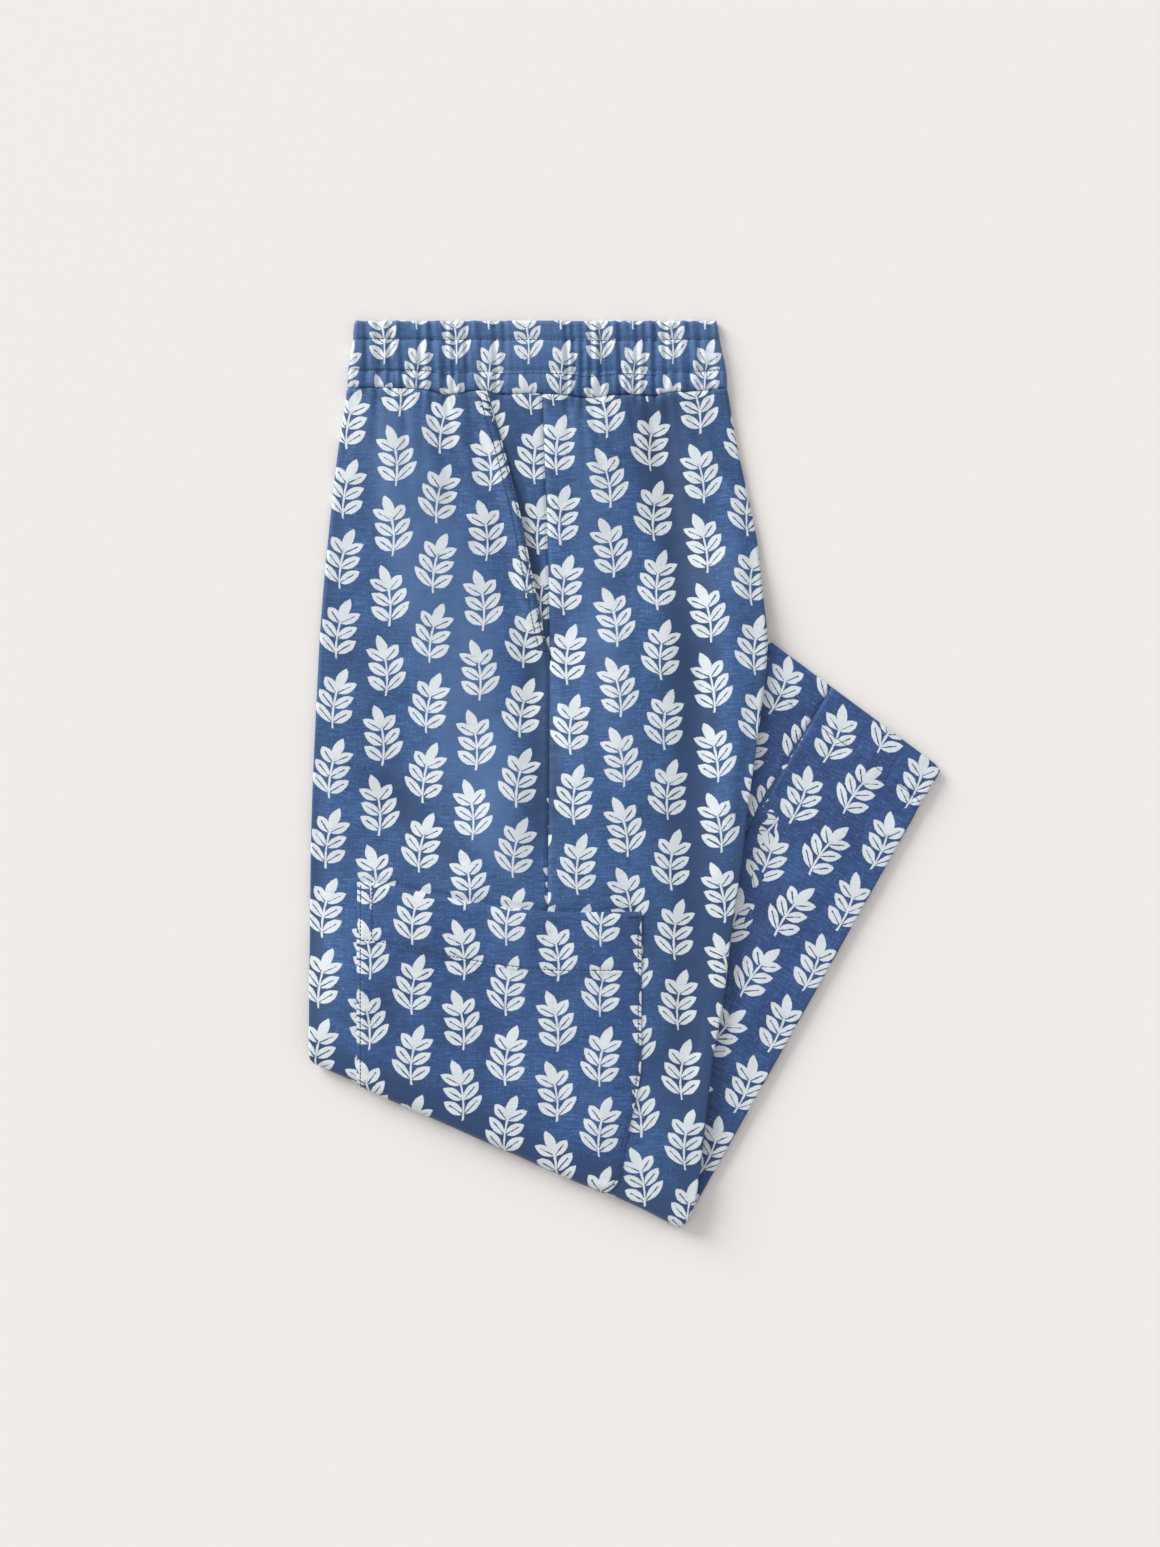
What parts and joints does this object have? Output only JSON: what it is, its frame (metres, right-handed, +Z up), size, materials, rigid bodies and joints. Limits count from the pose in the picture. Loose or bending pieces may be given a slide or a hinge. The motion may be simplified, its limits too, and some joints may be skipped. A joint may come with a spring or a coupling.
{
  "type": "folded linen trousers",
  "caption": "Printed linen trousers with a gathered elastic waist, slant pocket and cargo pocket, folded leg on leg and once at the knee, lying flat",
  "frame": {"origin": "centre of the folded garment's box, on its underside", "axes": "+Z up from the surface that it lies on, +Y from the knee fold towards the waistband, +X from the front fold towards the hems"},
  "size_m": [0.4738, 0.6806, 0.0198],
  "materials": {
    "printed_linen": "matt plain-woven linen with slubs, denim blue with a white block print",
    "thread": "matt navy sewing thread"
  },
  "bodies": {
    "root": {"hidden_layers": "printed_linen", "left_front": "printed_linen", "left_back": "printed_linen", "pocket_facing": "printed_linen", "cargo_pocket": "printed_linen", "waistband_left": "printed_linen", "waistband_right": "printed_linen", "right_back_lower": "printed_linen", "right_front_lower": "printed_linen"}
  },
  "joints": []
}
